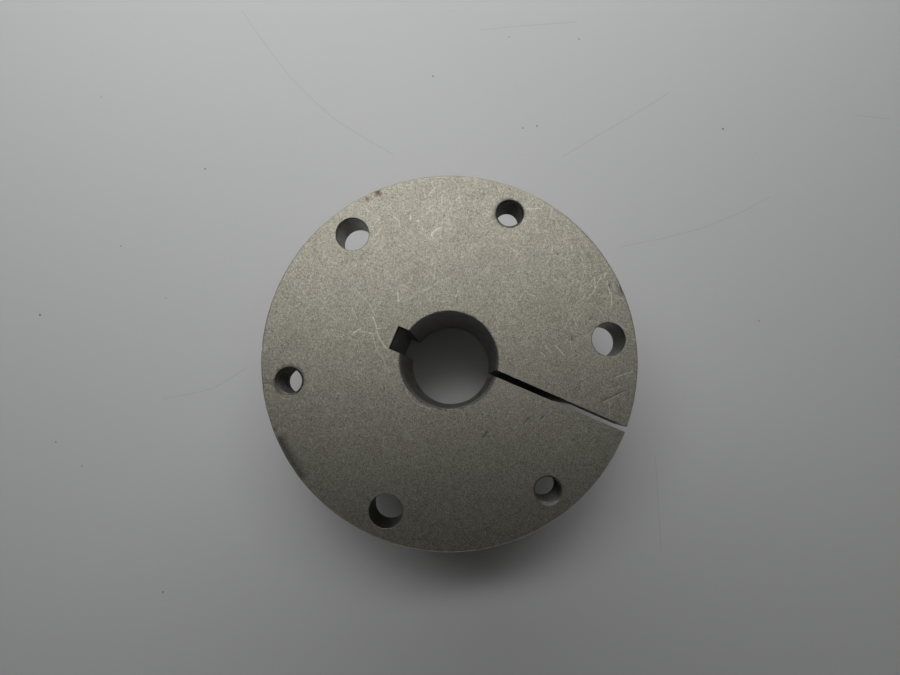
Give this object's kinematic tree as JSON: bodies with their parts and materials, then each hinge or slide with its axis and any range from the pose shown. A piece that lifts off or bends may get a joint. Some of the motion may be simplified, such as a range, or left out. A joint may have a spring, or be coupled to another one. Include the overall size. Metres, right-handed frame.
{
  "type": "quick disconnect bushing",
  "caption": "Flanged split-taper bushing, bored and keyed for a shaft, with clearance and puller screw holes round its flange and a saw cut along one side.",
  "frame": {"origin": "on the bore axis, at the small end face of the tapered barrel, which the part stands on", "axes": "+Z along the bore from the small end to the flange face; +Y towards the middle of the keyway; the saw cut is on the -Y side"},
  "size_m": [0.0984, 0.0984, 0.0492],
  "materials": {
    "steel": "satin machined and blasted metal, warm grey, with fine grain, scratches and small nicks"
  },
  "bodies": {
    "root": {"bushing": "steel"}
  },
  "joints": []
}
